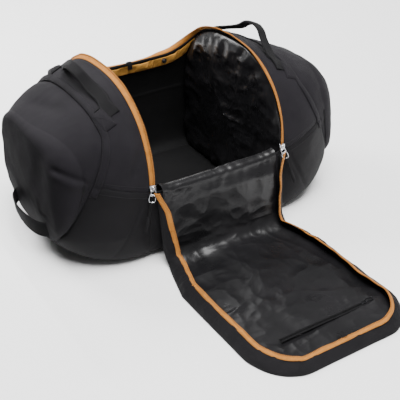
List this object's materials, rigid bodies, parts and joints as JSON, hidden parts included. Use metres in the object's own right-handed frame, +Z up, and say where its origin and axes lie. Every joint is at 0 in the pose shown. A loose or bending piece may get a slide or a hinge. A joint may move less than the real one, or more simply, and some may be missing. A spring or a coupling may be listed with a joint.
{
  "type": "ski boot bag",
  "caption": "Wide padded duffel for ski boots, with an arched opening, a zipped pocket in each end and a front flap that folds down as a standing mat.",
  "frame": {"origin": "centre of the underside of the base, midway between the two arches, on the floor", "axes": "+X to the bag's right end seen from the front, -Y to the side where the flap folds down, +Z up"},
  "size_m": [0.817, 0.9437, 0.4219],
  "materials": {
    "outer_cloth": "matte woven polyester, charcoal black with a faint plum cast",
    "base_cloth": "matte heavy woven polyester, darker black",
    "tarpaulin": "glossy crumpled coated cloth, black",
    "webbing": "matte ribbed webbing, black",
    "zip_tape": "satin ribbed zip tape, amber",
    "facing": "satin wrinkled lining cloth, amber",
    "binding": "satin binding tape, black",
    "board": "matte board",
    "zinc": "polished grey metal",
    "snap": "satin black metal"
  },
  "bodies": {
    "bag": {"base_panel": "base_cloth", "base_stiffener": "board", "front_wall": "base_cloth", "back_wall": "outer_cloth", "back_facing": "facing", "back_snap_left": "snap", "back_snap_right": "snap", "back_zip_tape": "zip_tape", "back_tab": "binding", "fold_binding": "binding", "left_gusset": "outer_cloth", "left_end_base": "outer_cloth", "left_lower_shell": "base_cloth", "left_partition": "tarpaulin", "left_arch_zip_tape": "zip_tape", "left_storm_flap": "outer_cloth", "left_handle_front_anchor": "webbing", "left_handle_rear_anchor": "webbing", "right_gusset": "outer_cloth", "right_end_base": "outer_cloth", "right_lower_shell": "base_cloth", "right_partition": "tarpaulin", "right_arch_zip_tape": "zip_tape", "right_storm_flap": "outer_cloth", "right_handle_front_anchor": "webbing", "right_handle_rear_anchor": "webbing"},
    "flap_riser": {"flap_riser": "outer_cloth", "flap_riser_liner": "tarpaulin", "flap_riser_left_zip_tape": "zip_tape", "flap_riser_right_zip_tape": "zip_tape"},
    "mat_rear": {"mat_rear": "outer_cloth", "mat_rear_liner": "tarpaulin", "mat_rear_left_zip_tape": "zip_tape", "mat_rear_right_zip_tape": "zip_tape"},
    "mat_middle": {"mat_middle": "outer_cloth", "mat_middle_liner": "tarpaulin", "mat_middle_left_zip_tape": "zip_tape", "mat_middle_right_zip_tape": "zip_tape"},
    "mat_front": {"mat_front": "outer_cloth", "mat_front_zip_tape": "zip_tape", "mat_front_liner": "tarpaulin", "flap_pocket_zip": "binding", "flap_tab": "binding"},
    "flap_pocket_slider": {"flap_pocket_slider": "snap"},
    "left_end_cover": {"left_end_cover": "outer_cloth"},
    "left_top_handle": {"left_top_handle": "webbing"},
    "left_end_strap": {"left_end_strap": "webbing"},
    "left_main_slider": {"left_main_slider": "zinc"},
    "left_pull": {"left_slider_pull": "zinc", "left_pull_tab": "webbing"},
    "left_pocket_slider": {"left_pocket_slider": "zinc"},
    "right_end_cover": {"right_end_cover": "outer_cloth"},
    "right_top_handle": {"right_top_handle": "webbing"},
    "right_end_strap": {"right_end_strap": "webbing"},
    "right_main_slider": {"right_main_slider": "zinc"},
    "right_pull": {"right_slider_pull": "zinc", "right_pull_tab": "webbing"},
    "right_pocket_slider": {"right_pocket_slider": "zinc"}
  },
  "joints": [
    {"name": "flap_fold", "type": "hinge", "parent": "bag", "child": "flap_riser", "pos_m": [0, -0.219, 0.185], "axis": [-1, 0, 0], "range_deg": [0, 178.5]},
    {"name": "mat_rear_fold", "type": "hinge", "parent": "flap_riser", "child": "mat_rear", "pos_m": [0, -0.24336, 0], "axis": [-1, 0, 0], "range_deg": [-20, 0]},
    {"name": "mat_middle_fold", "type": "hinge", "parent": "mat_rear", "child": "mat_middle", "pos_m": [0, -0.40836, 0.006], "axis": [-1, 0, 0], "range_deg": [0, 24]},
    {"name": "mat_front_fold", "type": "hinge", "parent": "mat_middle", "child": "mat_front", "pos_m": [0, -0.55836, 0.006], "axis": [-1, 0, 0], "range_deg": [0, 31]},
    {"name": "flap_pocket_slider_slide", "type": "slide", "parent": "mat_front", "child": "flap_pocket_slider", "axis": [-1, 0, 0], "range_m": [0, 0.21]},
    {"name": "left_end_cover_hinge", "type": "hinge", "parent": "bag", "child": "left_end_cover", "pos_m": [-0.382, -0.012, 0.175], "axis": [0, -1, 0], "range_deg": [0, 120]},
    {"name": "left_top_handle_swing", "type": "hinge", "parent": "bag", "child": "left_top_handle", "pos_m": [-0.2315, 0.007, 0.3895], "axis": [0, -1, 0], "range_deg": [-50, 50]},
    {"name": "left_end_strap_swing", "type": "hinge", "parent": "bag", "child": "left_end_strap", "pos_m": [-0.4007, -0.005, 0.092], "axis": [0, -1, 0], "range_deg": [-35, 35]},
    {"name": "left_main_slider_slide", "type": "slide", "parent": "bag", "child": "left_main_slider", "axis": [0, 0.05, 0.9987], "range_m": [0, 0.06]},
    {"name": "left_pull_swing", "type": "hinge", "parent": "left_main_slider", "child": "left_pull", "pos_m": [-0.178, -0.2208, 0.19], "axis": [-1, 0, 0], "range_deg": [0, 150]},
    {"name": "left_pocket_slider_slide", "type": "slide", "parent": "bag", "child": "left_pocket_slider", "axis": [0.4, 0.33, 0.855], "range_m": [0, 0.05]},
    {"name": "right_end_cover_hinge", "type": "hinge", "parent": "bag", "child": "right_end_cover", "pos_m": [0.382, -0.012, 0.175], "axis": [0, 1, 0], "range_deg": [0, 120]},
    {"name": "right_top_handle_swing", "type": "hinge", "parent": "bag", "child": "right_top_handle", "pos_m": [0.2315, 0.007, 0.3895], "axis": [0, 1, 0], "range_deg": [-50, 50]},
    {"name": "right_end_strap_swing", "type": "hinge", "parent": "bag", "child": "right_end_strap", "pos_m": [0.4007, -0.005, 0.092], "axis": [0, 1, 0], "range_deg": [-35, 35]},
    {"name": "right_main_slider_slide", "type": "slide", "parent": "bag", "child": "right_main_slider", "axis": [0, 0.05, 0.9987], "range_m": [0, 0.06]},
    {"name": "right_pull_swing", "type": "hinge", "parent": "right_main_slider", "child": "right_pull", "pos_m": [0.178, -0.2208, 0.19], "axis": [-1, 0, 0], "range_deg": [0, 150]},
    {"name": "right_pocket_slider_slide", "type": "slide", "parent": "bag", "child": "right_pocket_slider", "axis": [-0.4, 0.33, 0.855], "range_m": [0, 0.05]}
  ],
  "couplings": [
    {"joint": "mat_rear_fold", "follows": "flap_fold", "ratio": -0.10924},
    {"joint": "mat_middle_fold", "follows": "flap_fold", "ratio": 0.13221},
    {"joint": "mat_front_fold", "follows": "flap_fold", "ratio": 0.17199}
  ]
}
